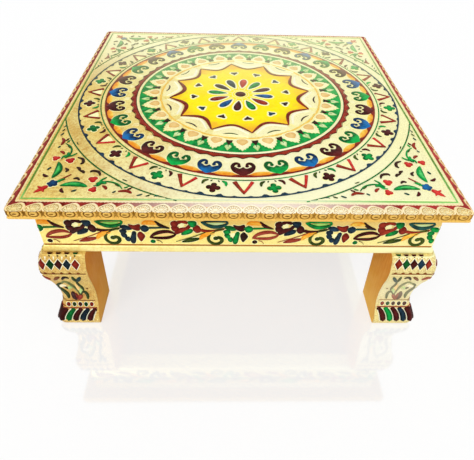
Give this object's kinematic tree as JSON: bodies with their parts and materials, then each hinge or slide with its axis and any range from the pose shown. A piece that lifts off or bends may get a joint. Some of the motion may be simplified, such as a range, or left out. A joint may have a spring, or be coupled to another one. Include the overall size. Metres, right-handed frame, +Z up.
{
  "type": "low table",
  "caption": "Low square table on double-curved bracket legs, clad in embossed gold sheet with an enamelled mandala top.",
  "frame": {"origin": "on the floor, under the middle of the table", "axes": "+Z up, front towards -Y, +X to the right"},
  "size_m": [0.305, 0.305, 0.1363],
  "materials": {
    "gold_sheet": "embossed pale gold sheet with enamel colours",
    "antique_sheet": "embossed darker gold sheet",
    "gilded_wood": "wood with pale gold paint",
    "painted_wood": "wood with orange-brown gold paint",
    "raw_wood": "bare wood",
    "screw_steel": "plain steel screws"
  },
  "bodies": {
    "root": {"top_board": "raw_wood", "top_sheet": "gold_sheet", "edge_sheet_front": "antique_sheet", "apron_board_front": "raw_wood", "apron_sheet_front": "gold_sheet", "base_moulding_front": "gilded_wood", "cleat_front": "raw_wood", "cleat_screw_front_1": "screw_steel", "cleat_screw_front_2": "screw_steel", "edge_sheet_right": "antique_sheet", "apron_board_right": "raw_wood", "apron_sheet_right": "gold_sheet", "base_moulding_right": "gilded_wood", "cleat_right": "raw_wood", "cleat_screw_right_1": "screw_steel", "cleat_screw_right_2": "screw_steel", "edge_sheet_back": "antique_sheet", "apron_board_back": "raw_wood", "apron_sheet_back": "gold_sheet", "base_moulding_back": "gilded_wood", "cleat_back": "raw_wood", "cleat_screw_back_1": "screw_steel", "cleat_screw_back_2": "screw_steel", "edge_sheet_left": "antique_sheet", "apron_board_left": "raw_wood", "apron_sheet_left": "gold_sheet", "base_moulding_left": "gilded_wood", "cleat_left": "raw_wood", "cleat_screw_left_1": "screw_steel", "cleat_screw_left_2": "screw_steel", "leg_front_left": "painted_wood", "leg_sheet_front_left": "gold_sheet", "leg_screw_front_left_1": "screw_steel", "leg_screw_front_left_2": "screw_steel", "leg_front_right": "painted_wood", "leg_sheet_front_right": "gold_sheet", "leg_screw_front_right_1": "screw_steel", "leg_screw_front_right_2": "screw_steel", "leg_back_right": "painted_wood", "leg_sheet_back_right": "gold_sheet", "leg_screw_back_right_1": "screw_steel", "leg_screw_back_right_2": "screw_steel", "leg_back_left": "painted_wood", "leg_sheet_back_left": "gold_sheet", "leg_screw_back_left_1": "screw_steel", "leg_screw_back_left_2": "screw_steel"}
  },
  "joints": []
}
